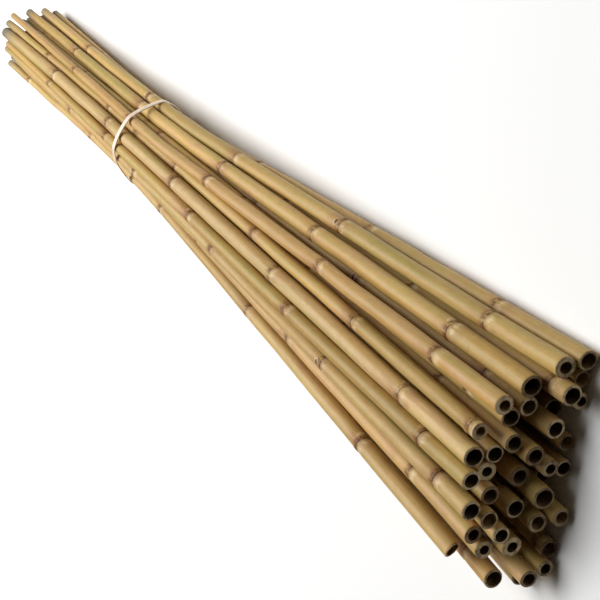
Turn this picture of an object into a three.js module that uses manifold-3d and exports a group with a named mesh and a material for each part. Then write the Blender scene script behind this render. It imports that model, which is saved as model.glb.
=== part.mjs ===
// A tied bundle of bamboo garden canes lying on the ground.
//
// Millimetres, +Z up. The canes run along X: the thick, sawn butt ends point to +X and the thin
// tips to -X. One flat plastic band, about two thirds of the way to the tips, holds them all.
// The origin is on the ground under the middle of the bundle.

import * as THREE from 'three';
import Module from 'manifold-3d';
import { mergeVertices } from 'three/addons/utils/BufferGeometryUtils.js';

// ---- driving dimensions -------------------------------------------------------------------------

const CANE_LENGTH = 1500;
const LENGTH_SPREAD = 50; // how much longer or shorter the tips may end
const TAPER = [0.44, 0.03]; // share of the butt's girth lost by the tip, evenly and increasingly
const TAPER_SPREAD = 0.3; // some canes keep more of their girth than others
// Wall thickness as a share of the outer diameter. The higher the leaning, the more are thin.
const WALL = { thin: 0.09, thick: 0.24, leaning: 2 };
const TIP_TRIM = 35; // cut off every tip once the canes are laid

const JOINT_SPACING = 268; // between the rings where leaves and branches grew
const JOINT_SPREAD = 70;
const JOINT_RIDGE = 0.45; // how far a ring stands proud of the cane
const JOINT_HALF_WIDTH = 5;
const SHORTEST_STUB = 12; // from the saw cut to the first ring
const STUB_SPREAD = 0.75; // share of a spacing by which the first ring may lie further off
const LAST_RING = 0.35; // share of a spacing left bare at the tip
const RING_WALL = 2; // from a ring's crest to the bore's closed end
const RIDGE_REACH = 8; // how far a ring's swelling is felt by the neighbours

const BUTT_X = 750; // where an average cane is sawn
const TIE_X = -178;
const BAND_WIDTH = 8.8;
const BAND_THICKNESS = 1.2;
const BAND_STEPS = 120; // corners in the band's loop
const RIM_STEPS = 48; // points round each cane, for fitting the band
const SPRINGING_ROUNDS = 400;
const BAND_BULGE = 0.35; // 0 is a limp band, straight over hollows, and 1 a springy round one
const BAND_REACH = 110; // how far along the canes its pull is felt
const BAND_SLANT = 0.06; // the band isn't quite square to the canes
const BAND_HEAD = { long: 11, wide: 10, high: 5.6 };
const HEAD_LOWNESS = 0.35; // how strongly the head tends down as well as to the far side
const HEAD_SINK = 0.8; // share of the band's thickness that the head is moulded round

const HEAP_MIDDLE_Z = 46;
const TIE_SQUEEZE = { across: 0.44, up: 0.78 }; // how the heap of butts draws in at the band
const TIE_CENTRE = { y: 8, z: 47 };
const TIP_CENTRE = { y: 0, z: 41 };
const TIP_SPREAD = 1.0; // beyond the band the canes run on side by side
const FAN_SOFTNESS = 110; // length of the bend where the canes leave the band
const NATURAL_BOW = 7; // sideways sweep of a cane left to itself

const GAP = 0.7; // clear air kept between neighbours
const GROUND_GAP_UNDER_BAND = 0.2;
const SIDES = 8;
const STATION_STEP = 50;
const ROUNDS = 600;
const FINAL_ROUNDS = 1500; // fewer if every overlap is cleared before
const CLOSE_ENOUGH = 0.2; // the gap takes this up
const SETTLE_PULL = 0.05; // towards a cane's own resting line, each round
const BAND_PULL = 0.03; // towards the middle of the band
const STIFFNESS = 0.5; // towards a straight line between neighbouring stations
const START_GIRTH = 0.35; // the canes swell from this share of their girth
const SETTLE_UNTIL = 0.8; // share of the rounds in which resting lines still pull
const PUSHES_PER_ROUND = 3;
const NUDGE_SHARES = [0.1, 0.5, 1, 0.5, 0.1]; // at a station and at those on either side
const SEED = 77;
const WALL_SEED = 5;
const ROUNDING = 1e-4; // lengths closer than this are the same

// The butts as they lie, in layers up from the ground. For each cane: its place across the heap,
// how far its saw cut stands out from (+) or behind (-) the average one, and its diameter there.
const BUTT_LAYERS = [
  { z: 9, ends: [[-115, -20, 16.5], [-84, 12, 15.5], [-67, 8, 17], [-50, -32, 17.5], [-34, 17, 17.5],
    [-13, -26, 17.5], [8, 0, 16.5], [31, -5, 16], [51, -34, 17.5], [74, 0, 15.5], [93, -4, 16],
    [111, 0, 18.5]] },
  { z: 25, ends: [[-94, 13, 16], [-39, 7, 18.5], [-15, 9, 20.5], [11, 5, 16.5], [48, 0, 18.5],
    [83, 9, 20], [104, -5, 20]] },
  { z: 43, ends: [[-110, -14, 18.5], [-69, 0, 20], [-34, -6, 18.5], [-5, -10, 20], [21, 0, 19],
    [57, -24, 18.5], [79, -20, 21.5]] },
  { z: 57, ends: [[-83, -20, 17.5], [-57, 0, 16.5], [31, -10, 17.5], [42, -24, 17.5]] },
  { z: 71, ends: [[-100, -44, 18], [-67, -21, 17.5], [-41, -3, 17], [-23, -13, 17.5],
    [-4, -22, 18.5], [15, -18, 17], [62, -18, 18.5]] },
  { z: 88, ends: [[-35, -8, 18.5], [-9, -16, 18], [11, -21, 20], [34, -25, 16.5]] },
];
const OBLIQUE_CANE = 31; // this one was cut on the slant with a knife, not sawn
const OBLIQUE_SLOPE = 0.58;
const OBLIQUE_SIDE = -129; // degrees from +Y towards +Z: where the slant is cut back furthest
const STOUT_CANE = 40; // this one tapers less, and its thick tip stands out past the others
const STOUT_LENGTH = 1492;
const STOUT_TAPER = 0.5;

const BAMBOO = { color: 0xcdb582, roughness: 0.5, metalness: 0 };
const BAND_PLASTIC = { color: 0xf1efe9, roughness: 0.4, metalness: 0 };

// ---- small tools --------------------------------------------------------------------------------

// A repeatable stream of numbers from 0 to 1.
function seededRandom(seed) {
  let state = seed;
  return () => {
    state = (state * 1664525 + 1013904223) % 4294967296;
    return state / 4294967296;
  };
}

const random = seededRandom(SEED);
const randomWall = seededRandom(WALL_SEED);
const around = (middle, spread) => middle + (random() - 0.5) * spread;
const mix = THREE.MathUtils.lerp;
const clamp = THREE.MathUtils.clamp;

// ---- the canes, before they are laid ------------------------------------------------------------

// Distances from the saw cut to each ring. Some canes are cut close to one, some far from it.
function jointDistances(length) {
  const distances = [];
  let next = SHORTEST_STUB + random() * JOINT_SPACING * STUB_SPREAD;
  while (next < length - JOINT_SPACING * LAST_RING) {
    distances.push(next);
    next += around(JOINT_SPACING, JOINT_SPREAD);
  }
  return distances;
}

function makeCanes() {
  const canes = [];
  for (const layer of BUTT_LAYERS) {
    for (const [y, setForward, diameter] of layer.ends) {
      const isStout = canes.length + 1 === STOUT_CANE;
      const length = isStout ? STOUT_LENGTH : around(CANE_LENGTH, LENGTH_SPREAD);
      canes.push({
        butt: BUTT_X + setForward,
        length,
        diameter,
        wall: mix(WALL.thin, WALL.thick, randomWall() ** WALL.leaning),
        taper: isStout ? STOUT_TAPER : around(1, TAPER_SPREAD),
        joints: jointDistances(length),
        place: { y, z: layer.z },
        bow: { y: around(0, NATURAL_BOW), z: around(0, NATURAL_BOW) },
      });
    }
  }
  return canes;
}

function radiusAt(cane, x) {
  const t = clamp((cane.butt - x) / cane.length, 0, 1);
  return (cane.diameter / 2) * (1 - cane.taper * (TAPER[0] * t + TAPER[1] * t * t));
}

// The room a cane needs near a station: its radius, and its ring if one is close by.
function girthAt(cane, x) {
  const reach = STATION_STEP / 2 + RIDGE_REACH;
  const ringClose = cane.joints.some((distance) => Math.abs(cane.butt - distance - x) < reach);
  return radiusAt(cane, x) + (ringClose ? JOINT_RIDGE : 0);
}

// ---- laying the canes ---------------------------------------------------------------------------

// Stations are planes square to X. A cane is a straight run from each one to the next.
const FIRST_X = BUTT_X - CANE_LENGTH - 100;
const STATION_COUNT = Math.ceil((CANE_LENGTH + 200) / STATION_STEP) + 1;
const stations = Array.from({ length: STATION_COUNT }, (_, k) => FIRST_X + k * STATION_STEP);

// Zero well before the band, a straight slope well after it, and a soft bend between.
function fanFrom(distance) {
  return (Math.hypot(distance, FAN_SOFTNESS) + distance) / 2;
}

// Where a cane would lie by itself: pinched at the band, fanned out to its butt and its tip.
function restingPlace(cane, x) {
  const tieY = TIE_CENTRE.y + cane.place.y * TIE_SQUEEZE.across;
  const tieZ = TIE_CENTRE.z + (cane.place.z - HEAP_MIDDLE_Z) * TIE_SQUEEZE.up;
  const tipY = TIP_CENTRE.y + (tieY - TIE_CENTRE.y) * TIP_SPREAD;
  const tipZ = TIP_CENTRE.z + (tieZ - TIE_CENTRE.z) * TIP_SPREAD;
  const toButt = fanFrom(x - TIE_X) / fanFrom(BUTT_X - TIE_X);
  const toTip = fanFrom(TIE_X - x) / fanFrom(TIE_X - (BUTT_X - CANE_LENGTH));
  const sweep = Math.sin(Math.PI * clamp((cane.butt - x) / cane.length, 0, 1));
  return {
    y: tieY + (cane.place.y - tieY) * toButt + (tipY - tieY) * toTip + cane.bow.y * sweep,
    z: tieZ + (cane.place.z - tieZ) * toButt + (tipZ - tieZ) * toTip + cane.bow.z * sweep,
  };
}

function reaches(cane, x) {
  return x < cane.butt + STATION_STEP && x > cane.butt - cane.length - STATION_STEP;
}

// Shifts a cane at one station, and less and less at the stations next to it, so that it curves
// away and doesn't kink.
function nudge(cane, k, dy, dz) {
  NUDGE_SHARES.forEach((share, i) => {
    const point = cane.path[k + i - 2];
    if (!point) return;
    point.y += dy * share;
    point.z += dz * share;
  });
}

// Moves every overlapping pair apart and returns the deepest overlap found.
function pushApart(canes, swelling) {
  let deepest = 0;
  for (let k = 0; k < stations.length; k += 1) {
    const here = canes.filter((cane) => reaches(cane, stations[k]));
    for (let i = 0; i < here.length; i += 1) {
      for (let j = i + 1; j < here.length; j += 1) {
        const a = here[i].path[k];
        const b = here[j].path[k];
        const dy = b.y - a.y;
        const dz = b.z - a.z;
        const apart = Math.hypot(dy, dz) || ROUNDING;
        const overlap = (here[i].girth[k] + here[j].girth[k]) * swelling + GAP - apart;
        if (overlap > 0) {
          deepest = Math.max(deepest, overlap);
          const share = (overlap * 0.5) / apart;
          nudge(here[i], k, -dy * share, -dz * share);
          nudge(here[j], k, dy * share, dz * share);
        }
      }
    }
  }
  return deepest;
}

function straighten(cane, stiffness) {
  const before = cane.path.map((point) => ({ ...point }));
  for (let k = 1; k < stations.length - 1; k += 1) {
    cane.path[k].y += ((before[k - 1].y + before[k + 1].y) / 2 - before[k].y) * stiffness;
    cane.path[k].z += ((before[k - 1].z + before[k + 1].z) / 2 - before[k].z) * stiffness;
  }
}

function settle(cane, pull) {
  stations.forEach((x, k) => {
    const target = restingPlace(cane, x);
    cane.path[k].y += (target.y - cane.path[k].y) * pull;
    cane.path[k].z += (target.z - cane.path[k].z) * pull;
  });
}

// The band draws in whatever passes through it.
function drawIn(cane, strength) {
  stations.forEach((x, k) => {
    const nearness = Math.exp(-(((x - TIE_X) / BAND_REACH) ** 2));
    cane.path[k].y += (TIE_CENTRE.y - cane.path[k].y) * strength * nearness;
    cane.path[k].z += (TIE_CENTRE.z - cane.path[k].z) * strength * nearness;
  });
}

function keepAboveGround(cane) {
  stations.forEach((x, k) => {
    const underBand = Math.abs(x - TIE_X) < STATION_STEP;
    const clearance = underBand ? BAND_THICKNESS + GAP + GROUND_GAP_UNDER_BAND : 0;
    cane.path[k].z = Math.max(cane.path[k].z, cane.girth[k] + clearance);
  });
}

// The canes start as thin wires in their resting places and swell to full girth while they are
// kept straight, pinched by the band and held up by the ground.
function layCanes(canes) {
  for (const cane of canes) {
    cane.girth = stations.map((x) => girthAt(cane, x));
    cane.path = stations.map((x) => restingPlace(cane, x));
  }
  for (let round = 0; round < ROUNDS; round += 1) {
    const progress = round / ROUNDS;
    const easing = Math.max(0, 1 - progress / SETTLE_UNTIL);
    const swelling = Math.min(1, START_GIRTH + progress);
    for (const cane of canes) {
      settle(cane, SETTLE_PULL * easing);
      straighten(cane, STIFFNESS);
      drawIn(cane, BAND_PULL);
    }
    for (let pass = 0; pass < PUSHES_PER_ROUND; pass += 1) pushApart(canes, swelling);
    canes.forEach(keepAboveGround);
  }
  for (let round = 0; round < FINAL_ROUNDS; round += 1) {
    const fading = (1 - round / FINAL_ROUNDS) ** 2;
    for (const cane of canes) {
      straighten(cane, STIFFNESS * fading);
      drawIn(cane, BAND_PULL * fading);
    }
    canes.forEach(keepAboveGround);
    if (pushApart(canes, 1) < CLOSE_ENOUGH) break;
  }
}

function centreAt(cane, x) {
  const along = (x - FIRST_X) / STATION_STEP;
  const k = clamp(Math.floor(along), 0, stations.length - 2);
  return {
    y: mix(cane.path[k].y, cane.path[k + 1].y, along - k),
    z: mix(cane.path[k].z, cane.path[k + 1].z, along - k),
  };
}

// ---- one cane -----------------------------------------------------------------------------------

// Half a section through the cane: x along it, and the distance from its middle. The bore runs
// from the saw cut to the first ring, where a wall grows right across the hollow.
function caneProfile(cane) {
  const profile = [];
  const add = (x, radius) => profile.push({ x, radius });
  const boreRadius = (cane.diameter / 2) * (1 - 2 * cane.wall);
  const boreEnd = cane.butt - cane.joints[0] + RING_WALL;
  add(boreEnd, 0);
  add(boreEnd, boreRadius);
  add(cane.butt, boreRadius);
  add(cane.butt, radiusAt(cane, cane.butt));
  let previous = cane.butt;
  for (const distance of cane.joints) {
    const x = cane.butt - distance;
    if (previous - x > JOINT_SPACING / 2) {
      add((previous + x) / 2, radiusAt(cane, (previous + x) / 2));
    }
    add(x + JOINT_HALF_WIDTH, radiusAt(cane, x + JOINT_HALF_WIDTH));
    add(x, radiusAt(cane, x) + JOINT_RIDGE);
    add(x - JOINT_HALF_WIDTH, radiusAt(cane, x - JOINT_HALF_WIDTH));
    previous = x;
  }
  const tip = cane.butt - cane.length + TIP_TRIM;
  add((previous + tip) / 2, radiusAt(cane, (previous + tip) / 2));
  add(tip, radiusAt(cane, tip));
  add(tip, 0);
  return profile.reverse(); // from the tip to the butt, so that the faces point out
}

// The profile is turned about the cane's own line, and each ring is then moved to where the
// cane lies there.
function caneGeometry(cane, isOblique) {
  const outline = caneProfile(cane).map(({ x, radius }) => new THREE.Vector2(radius, x));
  const geometry = new THREE.LatheGeometry(outline, SIDES);
  geometry.rotateZ(-Math.PI / 2);
  geometry.rotateX(Math.PI / 2);
  const position = geometry.attributes.position;
  const side = THREE.MathUtils.degToRad(OBLIQUE_SIDE);
  for (let i = 0; i < position.count; i += 1) {
    const x = position.getX(i);
    const centre = centreAt(cane, x);
    if (isOblique && x > cane.butt - ROUNDING) {
      const towardsSide = position.getY(i) * Math.cos(side) + position.getZ(i) * Math.sin(side);
      position.setX(i, x - (cane.diameter / 2 + towardsSide) * OBLIQUE_SLOPE);
    }
    position.setY(i, position.getY(i) + centre.y);
    position.setZ(i, position.getZ(i) + centre.z);
  }
  return geometry;
}

// ---- the band -----------------------------------------------------------------------------------

// The points around every cane at the band, pushed out by an offset.
function rimPoints(canes, offset) {
  const points = [];
  for (const cane of canes) {
    const centre = centreAt(cane, TIE_X);
    const radius = girthAt(cane, TIE_X) + offset;
    for (let i = 0; i < RIM_STEPS; i += 1) {
      const angle = (i / RIM_STEPS) * Math.PI * 2;
      points.push(new THREE.Vector2(
        centre.y + Math.cos(angle) * radius,
        centre.z + Math.sin(angle) * radius,
      ));
    }
  }
  return points;
}

// The smallest loop round the points, anticlockwise.
function convexHull(points) {
  const sorted = [...points].sort((a, b) => a.x - b.x || a.y - b.y);
  const chain = (list) => {
    const kept = [];
    for (const point of list) {
      while (kept.length > 1) {
        const edge = kept.at(-1).clone().sub(kept.at(-2));
        if (edge.cross(point.clone().sub(kept.at(-1))) > 0) break;
        kept.pop();
      }
      kept.push(point);
    }
    return kept.slice(0, -1);
  };
  return [...chain(sorted), ...chain(sorted.reverse())];
}

// How far from the middle of the band a ray leaves a loop.
function reachAlong(loop, ray) {
  let reach = Infinity;
  loop.forEach((start, i) => {
    const edge = loop[(i + 1) % loop.length].clone().sub(start);
    const outward = new THREE.Vector2(edge.y, -edge.x).normalize();
    const slant = outward.dot(ray);
    if (slant <= 0) return;
    const distance = outward.dot(start.clone().sub(new THREE.Vector2(TIE_CENTRE.y, TIE_CENTRE.z)));
    reach = Math.min(reach, distance / slant);
  });
  return reach;
}

// The band's inner and outer loops. It is pulled tight, but it is too springy to run quite
// straight over the hollows between the canes. Under the bundle the ground keeps it flat.
function bandLoops(canes) {
  const tight = convexHull(rimPoints(canes, GAP));
  const lowest = Math.min(...tight.map((point) => point.y));
  const rays = Array.from({ length: BAND_STEPS }, (_, i) => {
    const angle = (i / BAND_STEPS) * Math.PI * 2;
    return new THREE.Vector2(Math.cos(angle), Math.sin(angle));
  });
  const limp = rays.map((ray) => reachAlong(tight, ray));
  let springy = limp;
  for (let round = 0; round < SPRINGING_ROUNDS; round += 1) {
    const before = springy;
    springy = limp.map((reach, i) => {
      const sides = before[(i + 1) % BAND_STEPS] + before.at(i - 1);
      return Math.max(reach, sides / 2);
    });
  }
  const loopAt = (offset) => rays.map((ray, i) => {
    const reach = mix(limp[i], springy[i], BAND_BULGE) + offset;
    const z = Math.max(TIE_CENTRE.z + ray.y * reach, lowest - offset);
    return new THREE.Vector2(TIE_CENTRE.y + ray.x * reach, z);
  });
  return { inner: loopAt(0), outer: loopAt(BAND_THICKNESS) };
}

function solidFrom(wasm, geometry) {
  const bare = geometry.clone();
  bare.deleteAttribute('normal');
  bare.deleteAttribute('uv');
  const merged = mergeVertices(bare, ROUNDING);
  return new wasm.Manifold(new wasm.Mesh({
    numProp: 3,
    vertProperties: new Float32Array(merged.attributes.position.array),
    triVerts: new Uint32Array(merged.index.array),
  }));
}

function geometryFrom(solid) {
  const mesh = solid.getMesh();
  const geometry = new THREE.BufferGeometry();
  geometry.setAttribute('position', new THREE.BufferAttribute(mesh.vertProperties, 3));
  geometry.setIndex(new THREE.BufferAttribute(mesh.triVerts, 1));
  return geometry;
}

// A flat strap round all the canes, with its moulded head low on the far side.
async function bandGeometry(canes) {
  const wasm = await Module();
  wasm.setup();
  const { inner, outer } = bandLoops(canes);
  const outline = new THREE.Shape(outer);
  outline.holes.push(new THREE.Path(inner));
  const strap = new THREE.ExtrudeGeometry(outline, { depth: BAND_WIDTH, bevelEnabled: false });
  strap.translate(0, 0, -BAND_WIDTH / 2);

  const farLow = (point) => point.x + point.y * HEAD_LOWNESS;
  const seat = outer.reduce((best, point) => (farLow(point) < farLow(best) ? point : best));
  const head = new THREE.BoxGeometry(BAND_HEAD.high, BAND_HEAD.long, BAND_HEAD.wide);
  head.translate(seat.x - BAND_HEAD.high / 2 + BAND_THICKNESS * HEAD_SINK, seat.y, 0);

  const geometry = geometryFrom(solidFrom(wasm, strap).add(solidFrom(wasm, head)));
  const position = geometry.attributes.position;
  for (let i = 0; i < position.count; i += 1) {
    const y = position.getX(i);
    const z = position.getY(i);
    const x = TIE_X + position.getZ(i) + (y - TIE_CENTRE.y) * BAND_SLANT;
    position.setXYZ(i, x, y, z);
  }
  return geometry;
}

// ---- the bundle ---------------------------------------------------------------------------------

const bundle = new THREE.Group();

function addPiece(name, geometry, finish) {
  const mesh = new THREE.Mesh(geometry, new THREE.MeshStandardMaterial(finish));
  mesh.name = name;
  bundle.add(mesh);
}

const canes = makeCanes();
layCanes(canes);
canes.forEach((cane, index) => {
  const number = String(index + 1).padStart(2, '0');
  addPiece(`cane_${number}`, caneGeometry(cane, index + 1 === OBLIQUE_CANE), BAMBOO);
});
addPiece('band_tie', await bandGeometry(canes), BAND_PLASTIC);

// The ground is z = 0, and the origin is under the middle of the bundle.
const box = new THREE.Box3().setFromObject(bundle);
const middle = box.getCenter(new THREE.Vector3());
bundle.position.set(-middle.x, -middle.y, -box.min.z);
bundle.updateMatrixWorld(true);

export default bundle;
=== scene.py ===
# A tied bundle of bamboo garden canes on a pale studio floor. Metres, +Z up, butts towards +X.
import math

import bpy
import numpy as np
from mathutils import Matrix, Vector


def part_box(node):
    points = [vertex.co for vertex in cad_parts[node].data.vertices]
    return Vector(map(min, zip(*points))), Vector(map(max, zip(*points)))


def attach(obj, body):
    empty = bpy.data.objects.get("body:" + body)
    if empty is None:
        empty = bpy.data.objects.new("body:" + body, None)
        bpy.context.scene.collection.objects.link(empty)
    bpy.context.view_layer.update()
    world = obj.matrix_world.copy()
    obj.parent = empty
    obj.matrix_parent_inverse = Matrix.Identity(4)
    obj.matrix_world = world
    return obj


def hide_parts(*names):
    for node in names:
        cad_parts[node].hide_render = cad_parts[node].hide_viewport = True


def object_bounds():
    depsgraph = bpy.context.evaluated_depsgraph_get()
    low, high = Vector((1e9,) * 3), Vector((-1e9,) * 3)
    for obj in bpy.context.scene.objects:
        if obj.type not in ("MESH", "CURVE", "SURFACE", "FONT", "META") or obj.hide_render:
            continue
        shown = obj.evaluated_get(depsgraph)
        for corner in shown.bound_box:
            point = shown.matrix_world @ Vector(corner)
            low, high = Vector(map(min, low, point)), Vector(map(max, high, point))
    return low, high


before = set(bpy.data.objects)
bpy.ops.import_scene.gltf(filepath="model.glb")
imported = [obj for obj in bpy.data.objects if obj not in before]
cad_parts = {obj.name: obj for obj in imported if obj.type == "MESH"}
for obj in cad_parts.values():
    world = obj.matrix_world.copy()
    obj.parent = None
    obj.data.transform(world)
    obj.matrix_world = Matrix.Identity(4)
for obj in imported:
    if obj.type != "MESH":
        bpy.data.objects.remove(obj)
cad_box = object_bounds()
scene = bpy.context.scene


# ---- camera -------------------------------------------------------------------------------------
# The viewer stands beyond the butt ends and looks down along the canes, with the camera turned
# on its side, so that the bundle runs from the lower right corner to the upper left.
AIM = Vector((cad_box[1].x - 0.4745, -0.018, 0.05))
DISTANCE = 2.02
AZIMUTH, ELEVATION = math.radians(21.72), math.radians(26.93)
TURNED = math.radians(-89.3)
LENS_MM, SENSOR_MM = 112.8, 36

outward = Vector((
    math.cos(ELEVATION) * math.cos(AZIMUTH),
    math.cos(ELEVATION) * math.sin(AZIMUTH),
    math.sin(ELEVATION),
))
camera = bpy.data.objects.new("camera", bpy.data.cameras.new("camera"))
camera.data.lens = LENS_MM
camera.data.sensor_width = SENSOR_MM
camera.matrix_world = (
    Matrix.Translation(AIM + outward * DISTANCE)
    @ outward.to_track_quat("Z", "Y").to_matrix().to_4x4()
    @ Matrix.Rotation(TURNED, 4, "Z")
)
scene.collection.objects.link(camera)
scene.camera = camera
scene.view_settings.view_transform = "Standard"


# ---- studio light -------------------------------------------------------------------------------
# A very wide soft light shines from above the thin tips, so the canes are bright on top and their
# sawn butts, which face away from it, stay in shade. A softbox makes the tips the brightest part.
OVERHEAD = {"strength": 2.85, "spread": math.radians(50), "towards": (0.62, -0.02, -1.0)}
OVER_TIPS = {"watts": 26, "size": 1.6, "place": (-1.35, 0.1, 1.5), "at": (-0.5, 0, 0)}
ROOM = (1.0, 0.98, 0.95, 1.0)
ROOM_STRENGTH = 0.03

lamp = bpy.data.lights.new("overhead_softlight", "SUN")
lamp.energy = OVERHEAD["strength"]
lamp.angle = OVERHEAD["spread"]
softlight = bpy.data.objects.new("overhead_softlight", lamp)
softlight.rotation_euler = Vector(OVERHEAD["towards"]).to_track_quat("-Z", "Y").to_euler()
scene.collection.objects.link(softlight)

lamp = bpy.data.lights.new("tip_softbox", "AREA")
lamp.energy = OVER_TIPS["watts"]
lamp.size = OVER_TIPS["size"]
softbox = bpy.data.objects.new("tip_softbox", lamp)
softbox.location = OVER_TIPS["place"]
aimed = Vector(OVER_TIPS["at"]) - softbox.location
softbox.rotation_euler = aimed.to_track_quat("-Z", "Y").to_euler()
scene.collection.objects.link(softbox)

room = bpy.data.worlds.new("room")
room.use_nodes = True
room.node_tree.nodes["Background"].inputs["Color"].default_value = ROOM
room.node_tree.nodes["Background"].inputs["Strength"].default_value = ROOM_STRENGTH
scene.world = room


# ---- floor --------------------------------------------------------------------------------------
# A plain matt white board lies under the bundle. It is much wider than any view, so that its edge
# never shows.
FLOOR_HALF = 30.0
FLOOR_WHITE = (0.93, 0.93, 0.92, 1.0)
FLOOR_ROUGHNESS = 0.9

board = bpy.data.materials.new("floor_board")
board.use_nodes = True
shader = board.node_tree.nodes["Principled BSDF"]
shader.inputs["Base Color"].default_value = FLOOR_WHITE
shader.inputs["Roughness"].default_value = FLOOR_ROUGHNESS
floor_mesh = bpy.data.meshes.new("floor")
floor_mesh.from_pydata(
    [(x * FLOOR_HALF, y * FLOOR_HALF, 0) for x, y in ((-1, -1), (1, -1), (1, 1), (-1, 1))],
    [],
    [(0, 1, 2, 3)],
)
floor = bpy.data.objects.new("floor", floor_mesh)
floor_mesh.materials.append(board)
scene.collection.objects.link(floor)


# ---- bamboo canes -------------------------------------------------------------------------------
# Each cane is one grown, hollow stem, dried and sawn at both ends. Its woody wall has a hard, waxy,
# straw-coloured rind with lengthwise fibres and blotches. At each joint the leaf sheath left a dark
# scar with a pale band below it. Nothing fixes the canes to each other but the tie.

class Wire:
    """A shader socket that takes part in sums. Numbers may stand on either side."""

    def __init__(self, tree, socket):
        self.tree = tree
        self.socket = socket

    def node(self, kind, settings, sockets, output=0):
        made = self.tree.nodes.new(kind)
        for name, value in settings.items():
            if name == "stops":
                ramp = made.color_ramp.elements
                while len(ramp) < len(value):
                    ramp.new(0.5)
                for element, (position, colour) in zip(ramp, value):
                    element.position = position
                    element.color = (*colour, 1.0)
            else:
                setattr(made, name, value)
        for name, value in sockets.items():
            if isinstance(value, Wire):
                self.tree.links.new(value.socket, made.inputs[name])
            else:
                made.inputs[name].default_value = value
        return Wire(self.tree, made.outputs[output])

    def maths(self, operation, first, second=0.0):
        return self.node("ShaderNodeMath", {"operation": operation}, {0: first, 1: second})

    def __add__(self, other):
        return self.maths("ADD", self, other)

    __radd__ = __add__

    def __sub__(self, other):
        return self.maths("SUBTRACT", self, other)

    def __rsub__(self, other):
        return self.maths("SUBTRACT", other, self)

    def __mul__(self, other):
        return self.maths("MULTIPLY", self, other)

    __rmul__ = __mul__

    def __truediv__(self, other):
        return self.maths("DIVIDE", self, other)

    def __pow__(self, other):
        return self.maths("POWER", self, other)

    def held(self):
        """Kept between 0 and 1."""
        return self.node("ShaderNodeClamp", {}, {"Value": self})

    def rise(self, low, high):
        """0 below low, 1 above high, and a soft step between."""
        return self.node(
            "ShaderNodeMapRange",
            {"interpolation_type": "SMOOTHSTEP"},
            {"Value": self, "From Min": low, "From Max": high},
        )

    def bell(self, middle, width):
        """1 at the middle, falling to nothing about two widths away."""
        return self.maths("EXPONENT", ((self - middle) / width) ** 2 * -1)

    def stretched(self, x, y, z):
        return self.node("ShaderNodeVectorMath", {"operation": "MULTIPLY"}, {0: self, 1: (x, y, z)})

    def noise(self, detail=3.0, roughness=0.55, distortion=0.0):
        return self.node(
            "ShaderNodeTexNoise",
            {},
            {
                "Vector": self,
                "Scale": 1.0,
                "Detail": detail,
                "Roughness": roughness,
                "Distortion": distortion,
            },
        )

    def paint(self, under, over):
        """Mixes two colours by this value: under where it is 0, over where it is 1."""
        return self.node(
            "ShaderNodeMix", {"data_type": "RGBA"}, {0: self, 6: under, 7: over}, output=2
        )

    def shuffled(self, by):
        """A number from 0 to 1 that has nothing to do with the one it comes from."""
        return self.maths("FRACT", self * by)

    def brightened(self, value):
        """A colour made lighter or darker by a value round 1."""
        return self.node("ShaderNodeVectorMath", {"operation": "SCALE"}, {0: self, "Scale": value})


def blank_material(name):
    """A new material, its shader, and a wire to start sums from."""
    material = bpy.data.materials.new(name)
    material.use_nodes = True
    tree = material.node_tree
    shader = tree.nodes["Principled BSDF"]
    return material, shader, Wire(tree, None)


def read(start, name, output):
    """An attribute that the cane's mesh carries: output 1 is a vector, 2 a number."""
    return start.node("ShaderNodeAttribute", {"attribute_name": name}, {}, output=output)


def feed(shader, **wires):
    for name, wire in wires.items():
        wire.tree.links.new(wire.socket, shader.inputs[name.replace("_", " ")])


def bumped(height, distance, strength):
    return height.node(
        "ShaderNodeBump", {}, {"Height": height, "Distance": distance, "Strength": strength}
    )


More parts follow.
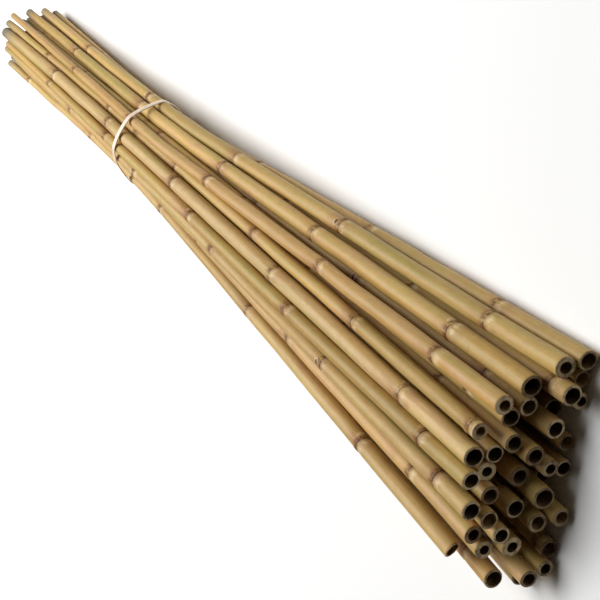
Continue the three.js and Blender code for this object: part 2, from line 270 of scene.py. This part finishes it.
def rind_material():
    """The outside, by its place on the cane and its distance past the nearest joint."""
    material, shader, start = blank_material("bamboo_rind")
    own = read(start, "own_place", 1)
    past = read(start, "past_joint", 2)
    close = read(start, "joint_close", 2)
    lip = read(start, "scar_lip", 2)
    tone = read(start, "cane_tone", 2)
    age = read(start, "internode_tone", 2)
    stub = read(start, "branch_scar", 2)
    grey = read(start, "weathered", 2)

    # The patterns, from the finest fibres to patches as long as a hand.
    fibres = own.stretched(30, 1700, 1700).noise(3, 0.6)
    streaks = own.stretched(9, 420, 420).noise(3, 0.6)
    bands = own.stretched(3.5, 110, 110).noise(2)
    clouds = own.stretched(16, 60, 60).noise(3, 0.6, 0.8)
    stains = own.stretched(75, 190, 190).noise(4, 0.7)
    specks = own.stretched(260, 620, 620).noise(1, 0.4)

    # Each cane has its own straw colour, and bands of it lean to orange or to green.
    straw = tone.node("ShaderNodeValToRGB", {"stops": [
        (0.00, (0.610, 0.385, 0.145)),
        (0.20, (0.640, 0.430, 0.130)),
        (0.40, (0.730, 0.490, 0.195)),
        (0.55, (0.600, 0.435, 0.125)),
        (0.75, (0.660, 0.400, 0.145)),
        (1.00, (0.790, 0.570, 0.260)),
    ]}, {"Fac": tone})
    orange = (0.680, 0.370, 0.080, 1)
    green = (0.510, 0.405, 0.095, 1)
    pink = (0.620, 0.365, 0.170, 1)
    rust = (0.330, 0.135, 0.040, 1)
    brown = (0.200, 0.082, 0.024, 1)
    bark = (0.085, 0.034, 0.010, 1)
    wax = (0.800, 0.640, 0.360, 1)
    dust = (0.200, 0.170, 0.120, 1)

    colour = (bands.rise(0.50, 0.68) * 0.55).paint(straw, orange)
    colour = (bands.rise(0.50, 0.30) * 0.60).paint(colour, green)
    colour = (clouds.rise(0.46, 0.68) * age.rise(0.25, 0.7) * 0.75).paint(colour, pink)
    light = 0.22 + streaks * 0.26 + fibres * 0.16 + clouds * 0.16 + stains * 0.34 + age * 0.26
    colour = colour.brightened(light)

    # Below a joint the stem is waxy and pale, and round it the rind is stained brown. The scar
    # that the leaf sheath left is a broken dark line.
    waxy = past.bell(0.0100, 0.0055) * close * stains.rise(0.40, 0.58)
    colour = (waxy * 0.75).held().paint(colour, wax)
    blush = past.bell(-0.002, 0.022) * close * clouds.rise(0.38, 0.60)
    colour = (blush * 0.55).held().paint(colour, rust)
    near = past.bell(0.0005, 0.0060) * close * stains.rise(0.40, 0.56)
    colour = (near * 0.90).held().paint(colour, brown)
    line = lip.rise(0.08, 0.55) * clouds.rise(0.32, 0.48) * stains.rise(0.32, 0.48)
    colour = line.held().paint(colour, bark)
    crest = past.bell(-0.0022, 0.0014) * close * streaks.rise(0.50, 0.62)
    colour = (crest * 0.7).held().paint(colour, brown)

    # A trimmed branch leaves a dark eye with pale torn wood round it.
    torn = stub.rise(0.06, 0.30) * stains.rise(0.40, 0.56)
    colour = (torn * 0.5).held().paint(colour, wax)
    eye = stub.rise(0.36, 0.74) * stains.rise(0.30, 0.48)
    colour = eye.held().paint(colour, bark)

    # Specks, scuffs, and the grey of tips that stood in the weather.
    marks = specks.rise(0.70, 0.76) * clouds.rise(0.50, 0.66)
    colour = (marks * 0.6).paint(colour, brown)
    scuffs = stains.rise(0.64, 0.72) * streaks.rise(0.50, 0.62)
    colour = (scuffs * 0.55).paint(colour, brown)
    colour = (grey * (0.45 + stains)).held().paint(colour, dust)

    rough = 0.44 + fibres * 0.16 + near * 0.2 + grey * 0.25
    height = fibres * 0.45 + streaks * 0.5 - marks * 0.3
    feed(shader, Base_Color=colour, Roughness=rough.held(), Normal=bumped(height, 0.0005, 0.4))
    shader.inputs["Specular IOR Level"].default_value = 0.22
    shader.inputs["Coat Weight"].default_value = 0.04
    shader.inputs["Coat Roughness"].default_value = 0.3
    return material


def sawn_material():
    """The cut wall: dry wood dotted with dark fibre bundles, closer together near the rind, and
    darkened on many canes with painted shade of the butts.
    """
    material, shader, start = blank_material("bamboo_sawn")
    own = read(start, "own_place", 1)
    depth = read(start, "wall_depth", 2)
    tone = read(start, "cane_tone", 2)
    dots = own.node(
        "ShaderNodeTexVoronoi", {}, {"Vector": own.stretched(300, 1900, 1900), "Scale": 1.0}
    )
    grain = own.stretched(900, 900, 900).noise(4, 0.7)
    dirt = own.stretched(170, 170, 170).noise(3)
    pale = (0.680, 0.530, 0.310, 1)
    worn_and_shaded = (0.160, 0.100, 0.050, 1)
    amber = (0.190, 0.105, 0.040, 1)
    dark = (0.070, 0.038, 0.016, 1)
    # Each cut face lies between pale wood and a dark brown that is partly wear and partly painted
    # shade of the shadowed butt ends.
    colour = tone.shuffled(7.3).paint(pale, worn_and_shaded)
    colour = (dots.rise(0.40, 0.12) * (0.7 - depth * 0.4)).held().paint(colour, amber)
    colour = (dirt.rise(0.44, 0.66) * 0.65).paint(colour, dark)
    colour = colour.brightened(0.60 + grain * 0.6)
    feed(shader, Base_Color=colour, Normal=bumped(grain + dots * 0.5, 0.0004, 0.5))
    shader.inputs["Roughness"].default_value = 0.85
    shader.inputs["Specular IOR Level"].default_value = 0.25
    return material


def bore_material():
    """The inside: a dull papery skin, brown with age and darkened with painted shade of the deep
    hole, and paler in some canes.
    """
    material, shader, start = blank_material("bamboo_bore")
    own = read(start, "own_place", 1)
    tone = read(start, "cane_tone", 2)
    skin = own.stretched(90, 700, 700).noise(4, 0.6)
    patch = own.stretched(60, 60, 60).noise(2)
    aged_and_shaded_skin = (0.040, 0.021, 0.008, 1)
    papery = (0.170, 0.105, 0.045, 1)
    fresh = (0.480, 0.300, 0.130, 1)
    mould = (0.022, 0.012, 0.005, 1)
    # The skin runs from a near-black that is painted shade of the hollow to a papery brown that is
    # its own aged colour.
    colour = skin.paint(aged_and_shaded_skin, papery)
    colour = tone.shuffled(9.1).rise(0.45, 1.0).paint(colour, fresh)
    colour = (patch.rise(0.42, 0.66) * 0.6).paint(colour, mould)
    feed(shader, Base_Color=colour, Normal=bumped(skin, 0.0005, 0.5))
    shader.inputs["Roughness"].default_value = 0.85
    shader.inputs["Specular IOR Level"].default_value = 0.2
    return material


# A cane is turned from a profile about its own line: up the bore at the tip, over the rim, down
# the rind with its joints, over the butt's rim and into the butt's bore as far as its closing wall.
SIDES = 28
RIND, SAWN, BORE = 0, 1, 2
SHARP = math.radians(42)
INTERNODE_STEP = 0.013
CROWDED = 0.00035
CLOSE_TO_END = np.linspace(0, 0.012, 5)
ROUND_JOINT = np.concatenate([
    np.linspace(-0.014, -0.0048, 6),
    np.linspace(-0.0040, 0.0048, 17),
    np.linspace(0.0058, 0.014, 6),
])

# The stem between its joints: slightly oval, uneven and crooked.
OVAL = 0.016
WAVER = {"height": 0.00016, "pace": 0.045, "girth_share": 0.6}
FULLNESS = 0.0002
KINK = 0.00035
INTERNODE_TONE = {"middle": 0.5, "spread": 0.22}
WEATHERING = {"strengths": [0.4, 0.9, 1.6], "lengths": (0.015, 0.04)}
PATTERN_REACH = 20

# At a joint: a swelling, the sheath's scar, and a waist under it. Places are measured from the
# joint, with + towards the butt. The scar dips under the bud, and buds lie on alternate sides.
NEAR_JOINT = 0.045
VIGOUR = (0.45, 1.0)
SWELL = {"height": 0.00042, "place": -0.0018, "width": 0.0026}
SCAR = {"height": 0.00030, "place": 0.0026, "width": 0.0008}
WAIST = {"height": -0.00016, "place": 0.0062, "width": 0.0026}
SCAR_DIP = {"depth": 0.0011, "width": 0.8, "wave": 0.0003}
RAGGED_SHARE = 0.35
BUD = {"height": 0.0009, "place": -0.0046, "long": 0.0036, "wide": 0.42, "astray": 0.15}
SLEEPING_BUD = {"size": 0.4, "mark": 0.55}
BRANCHED_SHARE = 0.45
STUMP = {"depth": 0.0004, "share": 0.62, "mark": 1.1}
GROOVE = {"depth": 0.00040, "wide": 0.36, "long": 0.075}

# The ends. Each saw cut is a little off square, and one cane was cut on the slant with a knife.
SAW_TILT = 0.07
SAW_MARK = 0.00012
OBLIQUE_CANE, OBLIQUE_CUT = "cane_31", (0.58, math.radians(-129))
END_ZONE, END_SET = 0.03, 0.0008
LEANING = {"tip": 2, "butt": 1.3}
RIM_DEPTHS = (1.0, 0.75, 0.5, 0.25, 0.08)
RIM_WEAR = 0.00031
TIP_BORE = {"share": 0.42, "depth": 0.03}
BORE_STEPS = (0.0, 0.0006, 0.002, 0.005, 0.009, 0.015, 0.025, 0.04, 0.07)
BORE_CORNER = 0.003
BORE_TAPER, BORE_UNEVEN = 0.97, 0.03
BORE_FLOOR = ((0.93, 0.0012), (0.75, 0.0004), (0.45, 0.0), (0.15, 0.0002))

# How the solids are read: a ring much thinner than its neighbours is the blind end of a bore, and
# one that stands proud of both is a joint.
RING_CORNERS = 8
SAME_PLACE = 6e-6
BLIND_SHARE = 0.9
PROUD = 2e-4

rng = np.random.default_rng(41)
angles = np.arange(SIDES) / SIDES * 2 * math.pi


def bell(distance, width):
    return np.exp(-((distance / width) ** 2))


def turned_to(angle):
    """How far each side lies from an angle, between -pi and pi."""
    return (angles - angle + math.pi) % (2 * math.pi) - math.pi


def cad_rings(node):
    """The solid's rings from tip to butt: x, centre y and z, outer radius."""
    points = np.unique(np.array([v.co for v in node.data.vertices]).round(6), axis=0)
    rings = []
    for x in np.unique(points[:, 0].round(5)):
        ring = points[abs(points[:, 0] - x) < SAME_PLACE][:, 1:]
        if len(ring) < RING_CORNERS:
            continue
        centre = (ring.min(0) + ring.max(0)) / 2
        rings.append((x, *centre, np.linalg.norm(ring - centre, axis=1).max()))
    return np.array(rings)


def curve_through(x, y, at):
    """A smooth curve through the points (x, y), read at other places."""
    slope = np.gradient(y, x)
    k = np.clip(np.searchsorted(x, at) - 1, 0, len(x) - 2)
    run = x[k + 1] - x[k]
    t = (at - x[k]) / run
    inside = (
        (2 * t**3 - 3 * t**2 + 1) * y[k]
        + (t**3 - 2 * t**2 + t) * slope[k] * run
        + (3 * t**2 - 2 * t**3) * y[k + 1]
        + (t**3 - t**2) * slope[k + 1] * run
    )
    past_end = y[-1] + (at - x[-1]) * slope[-1]
    return np.where(at > x[-1], past_end, inside)


def read_cane(name):
    """A cane's line, girth, joints, ends and bore, as its solid has them."""
    rings = cad_rings(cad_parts[name])
    outer = rings[:, 3]
    lower = np.minimum(np.append(outer[1:], outer[-1]), np.insert(outer[:-1], 0, outer[0]))
    blind = outer < BLIND_SHARE * lower
    bore_end, bore_radius = rings[blind][-1, [0, 3]]
    rings = rings[~blind]
    x, y, z, outer = rings[:, 0], rings[:, 1], rings[:, 2], rings[:, 3]
    crest = np.zeros(len(x), bool)
    crest[1:-1] = (outer[1:-1] > outer[:-2] + PROUD) & (outer[1:-1] > outer[2:] + PROUD)
    on_line = np.ones(len(x), bool)
    on_line[:-1] &= ~crest[1:]
    on_line[1:] &= ~crest[:-1]
    return {
        "tip": x[0],
        "butt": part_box(name)[1].x,
        "joints": x[crest],
        "bore_end": bore_end,
        "bore_radius": bore_radius,
        "line": lambda at: (
            curve_through(x[on_line], y[on_line], at),
            curve_through(x[on_line], z[on_line], at),
        ),
        "girth": lambda at: np.interp(at, x[~crest], outer[~crest]),
    }


def rind_stations(cane):
    """Places along the rind: close together round the joints, further apart between them."""
    tip, butt = cane["tip"] + END_SET, cane["butt"] - END_SET
    edges = [tip, *cane["joints"], butt]
    places = [tip + CLOSE_TO_END, butt - CLOSE_TO_END[::-1]]
    for a, b in zip(edges[:-1], edges[1:]):
        places.append(np.linspace(a, b, max(2, round((b - a) / INTERNODE_STEP))))
    for joint in cane["joints"]:
        places.append(joint + ROUND_JOINT)
    found = np.sort(np.concatenate(places))
    found = found[(found >= tip) & (found <= butt)]
    # A place that would crowd the one before it is dropped.
    kept = [found[0]]
    for place in found[1:]:
        if place - kept[-1] > CROWDED:
            kept.append(place)
    return np.array(kept)


def zigzag(cane):
    """The stem turns a little at every joint: sideways shifts of its line, none at its ends."""
    turns = [cane["tip"], *cane["joints"], cane["butt"]]
    shifts = rng.uniform(-KINK, KINK, (len(turns), 2))
    shifts[[0, -1]] = 0
    return lambda at: (np.interp(at, turns, shifts[:, 0]), np.interp(at, turns, shifts[:, 1]))


def smooth_wander(at, pace, count):
    """Slow random changes along the cane, in as many columns as count says."""
    knots = np.arange(at.min() - pace, at.max() + 2 * pace, pace)
    values = rng.normal(0, 1, (len(knots), count))
    return np.stack([curve_through(knots, values[:, i], at) for i in range(count)], 1)


def turn_cane(name):
    """One cane as a finished stem, riding in place of its solid."""
    cane = read_cane(name)
    joints = cane["joints"]
    bud_angle = rng.uniform(0, 2 * math.pi)

    # The rind, as rows of SIDES points.
    x = rind_stations(cane)
    base = cane["girth"](x)
    radius = np.repeat(base[:, None] + FULLNESS, SIDES, 1)
    oval_turn = rng.uniform(0, math.pi)
    radius -= radius * OVAL * (0.5 + 0.5 * np.cos(2 * (angles - oval_turn)))[None, :]
    wander = smooth_wander(x, WAVER["pace"], 3)
    radius += WAVER["height"] * (
        wander[:, :1] * WAVER["girth_share"]
        + wander[:, 1:2] * np.cos(angles)[None, :]
        + wander[:, 2:3] * np.sin(angles)[None, :]
    )
    scars = np.zeros_like(radius)
    lips = np.zeros_like(radius)
    for order, joint in enumerate(joints):
        side = bud_angle + math.pi * order + rng.normal(0, BUD["astray"])
        off = turned_to(side)[None, :]
        dip = SCAR_DIP["depth"] * bell(off, SCAR_DIP["width"])
        dip = dip - SCAR_DIP["wave"] * np.cos(off * 2 + order)
        d = (x - joint)[:, None]
        ragged = 1 - RAGGED_SHARE + RAGGED_SHARE * rng.random(SIDES)[None, :]
        vigour = rng.uniform(*VIGOUR)
        radius += vigour * SWELL["height"] * bell(d - SWELL["place"], SWELL["width"])
        lip = bell(d - SCAR["place"] - dip, SCAR["width"])
        radius += vigour * SCAR["height"] * ragged * lip
        radius += WAIST["height"] * bell(d - WAIST["place"] - dip, WAIST["width"])
        lips = np.maximum(lips, lip * vigour)
        # A bud, or the stump of a trimmed branch, sits above the scar. The stem is grooved
        # beyond it where the branch pressed on it as it grew.
        branched = rng.random() < BRANCHED_SHARE
        shape = bell(d - BUD["place"], BUD["long"]) * bell(off, BUD["wide"])
        if branched:
            cut_long, cut_wide = BUD["long"] * STUMP["share"], BUD["wide"] * STUMP["share"]
            cut = bell(d - BUD["place"], cut_long) * bell(off, cut_wide)
            radius += BUD["height"] * shape - STUMP["depth"] * cut
            scars = np.maximum(scars, STUMP["mark"] * shape)
        else:
            radius += SLEEPING_BUD["size"] * BUD["height"] * shape
            scars = np.maximum(scars, SLEEPING_BUD["mark"] * shape)
        beyond = np.clip(1 + (d - BUD["place"]) / GROOVE["long"], 0, 1) * (d < BUD["place"])
        radius -= GROOVE["depth"] * beyond * bell(off, GROOVE["wide"])

    nearest = joints[np.abs(x[:, None] - joints[None, :]).argmin(1)]
    to_joint = x - nearest
    tones = rng.normal(INTERNODE_TONE["middle"], INTERNODE_TONE["spread"], len(joints) + 1)
    tone = tones[np.searchsorted(joints, x)]
    strength = rng.choice(WEATHERING["strengths"])
    weather = strength * np.exp(-(x - cane["tip"]) / rng.uniform(*WEATHERING["lengths"]))

    # The sawn ends: neither cut is quite square, and the saw leaves shallow marks.
    slopes = {
        "tip": (rng.uniform(0, SAW_TILT), rng.uniform(0, 2 * math.pi)),
        "butt": (rng.uniform(0, SAW_TILT), rng.uniform(0, 2 * math.pi)),
    }
    if name == OBLIQUE_CANE:
        slopes["butt"] = OBLIQUE_CUT

    def pulled_in(end, radii):
        """How far the slant of a cut sets each side back."""
        slope, lowest = slopes[end]
        full = cane["girth"](cane[end])
        return slope * (full + radii * np.cos(angles - lowest)[None, :])

    rows = {key: [] for key in ("x", "radius", "zone", "depth")}

    def add_row(at, radii, zone, depth=0.0):
        rows["x"].append(np.broadcast_to(at, (SIDES,)))
        rows["radius"].append(np.broadcast_to(radii, (SIDES,)))
        rows["zone"].append(zone)
        rows["depth"].append(depth)

    def bore_rows(end, share, deep):
        """From the mouth inwards to the wall that closes the bore."""
        inwards = 1 if end == "tip" else -1
        bore_radius = np.full(SIDES, cane["girth"](cane[end]) * share)
        uneven = BORE_TAPER + BORE_TAPER * BORE_UNEVEN * rng.normal(0, 1, SIDES)
        corner = deep - BORE_CORNER
        made = []
        for step in [*(s for s in BORE_STEPS if s < corner), corner]:
            fade = max(0.0, 1 - step / END_ZONE)
            radii = bore_radius * uneven if step > 0 else bore_radius
            at = cane[end] + inwards * (step + pulled_in(end, radii)[0] * fade)
            made.append((at, radii))
        for part, rise in BORE_FLOOR:
            made.append((np.full(SIDES, cane[end] + inwards * (deep - rise)), bore_radius * part))
        return made

    def rim_rows(end, share, outermost):
        """Across the wall from the bore to the rind. The bore's own mouth is the first row."""
        inwards = 1 if end == "tip" else -1
        made = []
        for depth in RIM_DEPTHS:
            radii = (outermost - RIM_WEAR) * (1 - depth * (1 - share))
            marks = SAW_MARK * np.abs(rng.normal(0, 1, SIDES))
            made.append((cane[end] + inwards * (pulled_in(end, radii)[0] + marks), radii, depth))
        return made[1:]

    # Tip: closing wall, bore, rim.
    share = TIP_BORE["share"]
    for at, radii in reversed(bore_rows("tip", share, TIP_BORE["depth"])):
        add_row(at, radii, BORE)
    for at, radii, depth in rim_rows("tip", share, radius[0]):
        add_row(at, radii, SAWN, depth)
    rind_from = len(rows["x"])

    # Rind: near an end its rings lean over until they match the saw cut.
    near_tip = np.clip(1 - (x - cane["tip"]) / END_ZONE, 0, 1)[:, None] ** LEANING["tip"]
    near_butt = np.clip(1 - (cane["butt"] - x) / END_ZONE, 0, 1)[:, None] ** LEANING["butt"]
    lean = near_tip * pulled_in("tip", radius) - near_butt * pulled_in("butt", radius)
    for at, radii in zip(x[:, None] + lean, radius):
        add_row(at, radii, RIND)
    rind_to = len(rows["x"])

    # Butt: rim, bore, closing wall.
    share = cane["bore_radius"] / cane["girth"](cane["butt"])
    for at, radii, depth in reversed(rim_rows("butt", share, radius[-1])):
        add_row(at, radii, SAWN, depth)
    for at, radii in bore_rows("butt", share, cane["butt"] - cane["bore_end"]):
        add_row(at, radii, BORE)

    all_x = np.array(rows["x"])
    all_radius = np.array(rows["radius"])
    count = len(all_x)
    y, z = cane["line"](all_x)
    aside = zigzag(cane)(all_x)
    y, z = y + aside[0], z + aside[1]
    points = np.stack([
        all_x,
        y + all_radius * np.cos(angles)[None, :],
        z + all_radius * np.sin(angles)[None, :],
    ], 2).reshape(-1, 3)
    floor_x = all_x[[0, -1]].mean(1)
    centres = np.stack([floor_x, *cane["line"](floor_x)], 1)
    points = np.clip(np.vstack([points, centres]), *cad_box)

    # Four-sided faces run from row to row, and a fan closes each bore.
    row = np.arange(count - 1)[:, None] * SIDES
    side = np.arange(SIDES)
    after = (side + 1) % SIDES
    corners = [row + side, row + after, row + SIDES + after, row + SIDES + side]
    quads = np.stack(corners, 2).reshape(-1, 4)
    tip_centre, butt_centre, last_row = count * SIDES, count * SIDES + 1, (count - 1) * SIDES
    tip_fan = np.stack([np.full(SIDES, tip_centre), after, side], 1)
    butt_fan = np.stack([np.full(SIDES, butt_centre), last_row + side, last_row + after], 1)
    mesh = bpy.data.meshes.new(name + "_stem")
    mesh.from_pydata(points.tolist(), [], quads.tolist() + tip_fan.tolist() + butt_fan.tolist())

    # Between two rows of one zone lies its material, and where the zones meet the wall is sawn.
    zone = np.array(rows["zone"])
    strip = np.where(zone[:-1] == zone[1:], zone[:-1], SAWN)
    slots = np.concatenate([np.repeat(strip, SIDES), np.full(2 * SIDES, BORE)])
    mesh.polygons.foreach_set("material_index", slots.astype(np.int32))

    def per_point(grid, ends=(0.0, 0.0)):
        return np.concatenate([np.asarray(grid, float).reshape(-1), ends])

    def spread_out(rind_values):
        """Rind values for every row: the tip's rows take the first, the butt's the last."""
        before = np.repeat(rind_values[:1], rind_from, 0)
        past = np.repeat(rind_values[-1:], count - rind_to, 0)
        return np.concatenate([before, rind_values, past])

    def wide(values):
        return np.repeat(np.asarray(values)[:, None], SIDES, 1)

    # Every cane takes its grain from another part of the same endless pattern.
    apart = rng.uniform(-PATTERN_REACH, PATTERN_REACH, 3)
    place = np.stack([
        all_x + apart[0],
        all_radius * np.cos(angles)[None, :] + apart[1],
        all_radius * np.sin(angles)[None, :] + apart[2],
    ], 2).reshape(-1, 3)
    place = np.vstack([place, place[0], place[-1]])
    stored = mesh.attributes.new("own_place", "FLOAT_VECTOR", "POINT")
    stored.data.foreach_set("vector", place.astype(np.float32).reshape(-1))
    for label, values in {
        "past_joint": per_point(spread_out(wide(np.clip(to_joint, -NEAR_JOINT, NEAR_JOINT)))),
        "joint_close": per_point(spread_out(wide(np.abs(to_joint) < NEAR_JOINT))),
        "scar_lip": per_point(spread_out(lips)),
        "branch_scar": per_point(spread_out(scars)),
        "internode_tone": per_point(spread_out(wide(tone))),
        "weathered": per_point(spread_out(wide(weather))),
        "wall_depth": per_point(wide(rows["depth"]), (1.0, 1.0)),
        "cane_tone": np.full(len(points), rng.random()),
    }.items():
        stored = mesh.attributes.new(label, "FLOAT", "POINT")
        stored.data.foreach_set("value", values.astype(np.float32))

    for material in (rind, sawn, bore):
        mesh.materials.append(material)
    mesh.shade_smooth()
    mesh.set_sharp_from_angle(angle=SHARP)
    stem = bpy.data.objects.new(name + "_stem", mesh)
    scene.collection.objects.link(stem)
    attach(stem, "root")
    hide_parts(name)


rind = rind_material()
sawn = sawn_material()
bore = bore_material()
for node_name in sorted(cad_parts):
    if node_name.startswith("cane_"):
        turn_cane(node_name)


# ---- tie ----------------------------------------------------------------------------------------
# One flat strap of creamy white nylon holds the bundle. It is moulded with its head and drawn
# tight round the canes, springy enough to bow over the hollows, and its tail is cut short.
STRAP = {"wide": 0.0088, "thick": 0.0012, "edge": 0.0004, "slant": 0.06}
STRAP_STEPS, STRAP_SMOOTHING = 280, 4
HEAD = {"long": 0.0108, "wide": 0.0098, "high": 0.0054, "edge": 0.0009, "inset": 0.0002}
HEAD_SHOULDERS = ((-1, 0.80), (-0.86, 0.95), (-0.6, 1), (0.6, 1), (0.86, 0.95), (1, 0.80))
TAIL = {"rooted": 0.001, "long": 0.0045, "inwards": 0.0006, "droop": 0.0008, "slim": 0.96}
ROUND_CORNER = (0, 30, 60, 90)
NYLON = (0.84, 0.69, 0.54, 1)
DUSTY_NYLON = (0.62, 0.53, 0.40, 1)
SHARP_NYLON = math.radians(50)
TOUCHING = 1e-5

low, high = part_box("band_tie")


def strap_x(y):
    """The middle of the strap, which isn't quite square to the canes."""
    return high.x - STRAP["wide"] / 2 + (y - high.y) * STRAP["slant"]


def hull(points):
    """The smallest loop round the points."""
    points = sorted(points)

    def half(ordered):
        chain = []
        for p in ordered:
            while len(chain) > 1 and (
                (chain[-1][0] - chain[-2][0]) * (p[1] - chain[-2][1])
                - (chain[-1][1] - chain[-2][1]) * (p[0] - chain[-2][0])
            ) <= 0:
                chain.pop()
            chain.append(p)
        return chain[:-1]

    return half(points) + half(points[::-1])


def strap_outline():
    """The solid strap's outer edge, as a smooth loop of evenly spaced points (y, z)."""
    rim = []
    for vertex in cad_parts["band_tie"].data.vertices:
        x, y, z = vertex.co
        if abs(x - strap_x(y)) < STRAP["wide"] / 2 + TOUCHING:
            rim.append((round(y, 6), round(z, 6)))
    loop = np.array(hull(set(rim)))
    loop = np.vstack([loop, loop[:1]])
    run = np.concatenate([[0], np.cumsum(np.linalg.norm(np.diff(loop, axis=0), axis=1))])
    at = np.linspace(0, run[-1], STRAP_STEPS, endpoint=False)
    even = np.stack([np.interp(at, run, loop[:, 0]), np.interp(at, run, loop[:, 1])], 1)
    for _ in range(STRAP_SMOOTHING):
        even = (np.roll(even, 1, 0) + even * 2 + np.roll(even, -1, 0)) / 4
    return even


def nylon_material():
    """Dull white plastic with a little dust on it."""
    material, shader, start = blank_material("white_nylon")
    own = start.node("ShaderNodeTexCoord", {}, {}, output=3)
    cloud = own.stretched(60, 60, 60).noise(3)
    grain = own.stretched(900, 900, 900).noise(2)
    dust = cloud.rise(0.5, 0.8) * 0.35
    colour = dust.paint(NYLON, DUSTY_NYLON)
    feed(
        shader,
        Base_Color=colour.brightened(0.94 + grain * 0.12),
        Roughness=0.34 + cloud * 0.2,
        Normal=bumped(grain, 0.0002, 0.15),
    )
    shader.inputs["Subsurface Weight"].default_value = 0.15
    shader.inputs["Subsurface Scale"].default_value = 0.002
    return material


def loft(name, sections, closed):
    """A skin over rings of points, shut by a face at each end if it isn't a closed loop."""
    count, around = len(sections), len(sections[0])
    faces = []
    for i in range(count if closed else count - 1):
        for k in range(around):
            a, b = i * around, ((i + 1) % count) * around
            faces.append((a + k, a + (k + 1) % around, b + (k + 1) % around, b + k))
    if not closed:
        faces.append(tuple(reversed(range(around))))
        faces.append(tuple(range((count - 1) * around, count * around)))
    mesh = bpy.data.meshes.new(name)
    mesh.from_pydata([tuple(p) for ring in sections for p in ring], [], faces)
    mesh.materials.append(nylon)
    mesh.shade_smooth()
    mesh.set_sharp_from_angle(angle=SHARP_NYLON)
    piece = bpy.data.objects.new(name, mesh)
    scene.collection.objects.link(piece)
    return piece


def rounded_section(wide, thick, edge):
    """A flat section with rounded corners: offsets along the cane and outwards."""
    corners = []
    for sx, sy, first in ((1, 1, 0), (-1, 1, 90), (-1, -1, 180), (1, -1, 270)):
        for step in ROUND_CORNER:
            a = math.radians(first + step)
            corners.append((
                sx * (wide / 2 - edge) + edge * math.cos(a),
                sy * (thick / 2 - edge) + edge * math.sin(a),
            ))
    return corners


nylon = nylon_material()
outline = strap_outline()
ahead = np.roll(outline, -1, 0) - np.roll(outline, 1, 0)
ahead /= np.linalg.norm(ahead, axis=1)[:, None]
out = np.stack([ahead[:, 1], -ahead[:, 0]], 1)
half_thick = STRAP["thick"] / 2
strap = loft("tie_strap", [
    [
        (strap_x(y) + u, y + (v - half_thick) * out_y, z + (v - half_thick) * out_z)
        for u, v in rounded_section(STRAP["wide"], STRAP["thick"], STRAP["edge"])
    ]
    for (y, z), (out_y, out_z) in zip(outline, out)
], closed=True)

# The head sits on the far side, low down, with the cut tail standing out of its slot.
far = [v.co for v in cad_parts["band_tie"].data.vertices if v.co.y < low.y + TOUCHING]
head_y = low.y + HEAD["high"] / 2 + HEAD["inset"]
head_z = sum(v.z for v in far) / len(far)
head_x = strap_x(head_y)
head = loft("tie_head", [
    [
        (head_x + u * share, head_y + v * share, head_z + t * HEAD["long"] / 2)
        for u, v in rounded_section(HEAD["wide"], HEAD["high"], HEAD["edge"])
    ]
    for t, share in HEAD_SHOULDERS
], closed=False)
slot_z = head_z + HEAD["long"] / 2 - TAIL["rooted"]
tail = loft("tie_tail", [
    [
        (
            head_x + u,
            head_y - TAIL["inwards"] + v - TAIL["droop"] * rise * rise,
            slot_z + rise * TAIL["long"],
        )
        for u, v in rounded_section(STRAP["wide"] * TAIL["slim"], STRAP["thick"], STRAP["edge"])
    ]
    for rise in (0, 0.35, 0.7, 1.0)
], closed=False)
for piece in (strap, head, tail):
    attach(piece, "root")
    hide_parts("band_tie")
